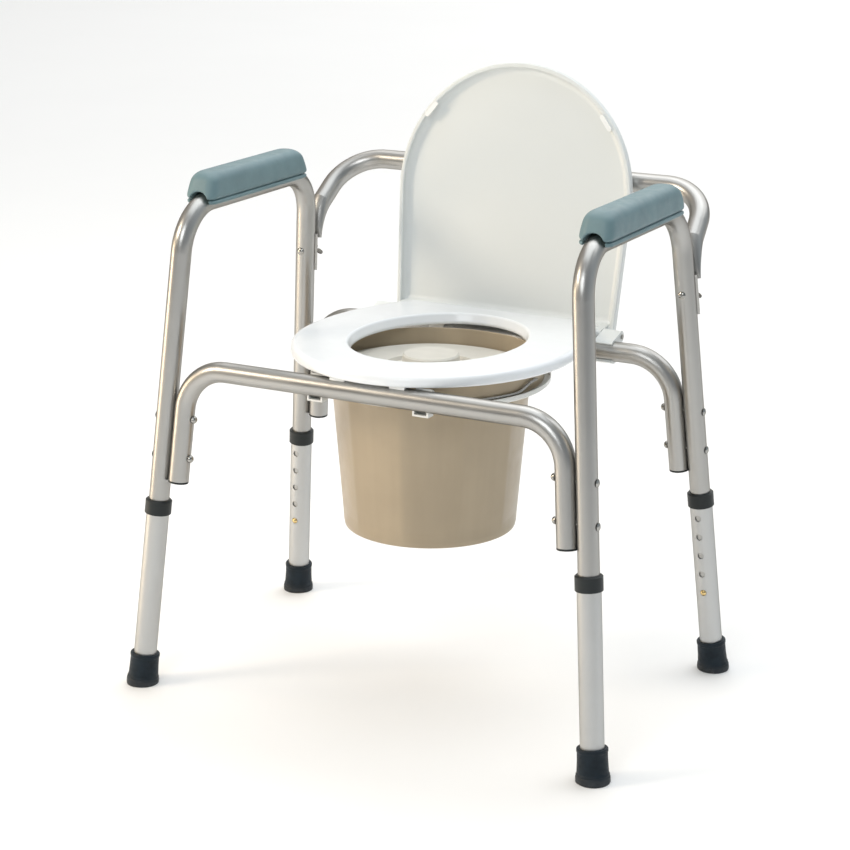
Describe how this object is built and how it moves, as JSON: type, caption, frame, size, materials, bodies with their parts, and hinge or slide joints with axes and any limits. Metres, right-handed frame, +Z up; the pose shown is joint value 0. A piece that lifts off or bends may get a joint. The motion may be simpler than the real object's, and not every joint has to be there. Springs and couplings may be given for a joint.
{
  "type": "commode chair",
  "caption": "Tubular aluminium commode chair: splayed adjustable legs, padded arm rails, hinged ring seat and domed lid over a lift-out pail with cover.",
  "frame": {"origin": "on the floor, under the middle of the chair's bounding box", "axes": "+X to the viewer's right seen from the front, +Y to the rear, +Z up"},
  "size_m": [0.6664, 0.4809, 0.7565],
  "materials": {
    "frame_tube": "satin anodised",
    "leg_tube": "satin anodised",
    "zinc_hardware": "zinc plated",
    "brass_button": "plain",
    "steel_wire": "drawn wire",
    "dark_plastic": "satin",
    "foot_rubber": "satin",
    "arm_pad": "fine grain",
    "seat_plastic": "gloss",
    "lid_plastic": "semi-gloss",
    "bumper_rubber": "soft",
    "pail_plastic": "satin",
    "pail_lid_plastic": "satin"
  },
  "bodies": {
    "frame": {"side_frame_left": "frame_tube", "side_frame_right": "frame_tube", "crossbar_front": "frame_tube", "crossbar_rear": "frame_tube", "crossbar_bolts": "zinc_hardware", "crossbar_nuts": "zinc_hardware", "crossbar_end_plugs": "dark_plastic", "backrest_tube": "frame_tube", "backrest_bolts": "zinc_hardware", "arm_pad_left": "arm_pad", "arm_pad_right": "arm_pad", "hinge_clip_left": "lid_plastic", "hinge_clip_right": "lid_plastic", "hinge_pins": "steel_wire", "pail_holder": "seat_plastic", "button_spring_front_left": "steel_wire", "button_spring_front_right": "steel_wire", "button_spring_rear_left": "steel_wire", "button_spring_rear_right": "steel_wire"},
    "seat": {"seat": "seat_plastic", "seat_bumpers": "bumper_rubber"},
    "lid": {"lid": "lid_plastic", "lid_bumpers": "bumper_rubber"},
    "pail": {"pail": "pail_plastic"},
    "pail_handle": {"pail_handle": "steel_wire"},
    "pail_lid": {"pail_lid": "pail_lid_plastic"},
    "wing_nut_left": {"wing_nut_left": "zinc_hardware"},
    "wing_nut_right": {"wing_nut_right": "zinc_hardware"},
    "leg_front_left": {"leg_extension_front_left": "leg_tube", "collar_front_left": "dark_plastic", "foot_front_left": "foot_rubber"},
    "button_front_left": {"snap_button_front_left": "brass_button"},
    "leg_front_right": {"leg_extension_front_right": "leg_tube", "collar_front_right": "dark_plastic", "foot_front_right": "foot_rubber"},
    "button_front_right": {"snap_button_front_right": "brass_button"},
    "leg_rear_left": {"leg_extension_rear_left": "leg_tube", "collar_rear_left": "dark_plastic", "foot_rear_left": "foot_rubber"},
    "button_rear_left": {"snap_button_rear_left": "brass_button"},
    "leg_rear_right": {"leg_extension_rear_right": "leg_tube", "collar_rear_right": "dark_plastic", "foot_rear_right": "foot_rubber"},
    "button_rear_right": {"snap_button_rear_right": "brass_button"}
  },
  "joints": [
    {"name": "seat_hinge", "type": "hinge", "parent": "frame", "child": "seat", "pos_m": [0, 0.15621, 0.429], "axis": [-1, 0, 0], "range_deg": [0, 97.4]},
    {"name": "lid_hinge", "type": "hinge", "parent": "frame", "child": "lid", "pos_m": [0, 0.15621, 0.429], "axis": [-1, 0, 0], "range_deg": [-97.4, 0]},
    {"name": "leg_slide_front_left", "type": "slide", "parent": "frame", "child": "leg_front_left", "axis": [-0.0824, -0.08, -0.9934], "range_m": [0, 0.1016], "deforming": ["snap_button_front_left"]},
    {"name": "leg_slide_front_right", "type": "slide", "parent": "frame", "child": "leg_front_right", "axis": [0.0824, -0.08, -0.9934], "range_m": [0, 0.1016], "deforming": ["snap_button_front_right"]},
    {"name": "leg_slide_rear_left", "type": "slide", "parent": "frame", "child": "leg_rear_left", "axis": [-0.0824, 0.08, -0.9934], "range_m": [0, 0.1016], "deforming": ["snap_button_rear_left"]},
    {"name": "leg_slide_rear_right", "type": "slide", "parent": "frame", "child": "leg_rear_right", "axis": [0.0824, 0.08, -0.9934], "range_m": [0, 0.1016], "deforming": ["snap_button_rear_right"]},
    {"name": "button_press_front_left", "type": "slide", "parent": "frame", "child": "button_front_left", "axis": [0.0033, -0.9968, 0.08], "range_m": [0, 0.004], "stiffness_N_per_m": 1200, "springref_m": -0.003, "deforming": ["button_spring_front_left"]},
    {"name": "button_press_front_right", "type": "slide", "parent": "frame", "child": "button_front_right", "axis": [-0.0033, -0.9968, 0.08], "range_m": [0, 0.004], "stiffness_N_per_m": 1200, "springref_m": -0.003, "deforming": ["button_spring_front_right"]},
    {"name": "button_press_rear_left", "type": "slide", "parent": "frame", "child": "button_rear_left", "axis": [0.0033, 0.9968, 0.08], "range_m": [0, 0.004], "stiffness_N_per_m": 1200, "springref_m": -0.003, "deforming": ["button_spring_rear_left"]},
    {"name": "button_press_rear_right", "type": "slide", "parent": "frame", "child": "button_rear_right", "axis": [-0.0033, 0.9968, 0.08], "range_m": [0, 0.004], "stiffness_N_per_m": 1200, "springref_m": -0.003, "deforming": ["button_spring_rear_right"]},
    {"name": "pail_lift", "type": "slide", "parent": "frame", "child": "pail", "axis": [0, 0, 1], "range_m": [0, 0.003]},
    {"name": "pail_handle_hinge", "type": "hinge", "parent": "pail", "child": "pail_handle", "pos_m": [0, -0.02879, 0.413], "axis": [-1, 0, 0], "range_deg": [0, 7.5]},
    {"name": "pail_lid_lift", "type": "slide", "parent": "pail", "child": "pail_lid", "axis": [0, 0, 1], "range_m": [0, 0.012]},
    {"name": "wing_nut_spin_left", "type": "hinge", "parent": "frame", "child": "wing_nut_left", "pos_m": [-0.27103, 0.14447, 0.5015], "axis": [0, 1, 0], "continuous": true},
    {"name": "wing_nut_spin_right", "type": "hinge", "parent": "frame", "child": "wing_nut_right", "pos_m": [0.27103, 0.14447, 0.5015], "axis": [0, 1, 0], "continuous": true}
  ]
}
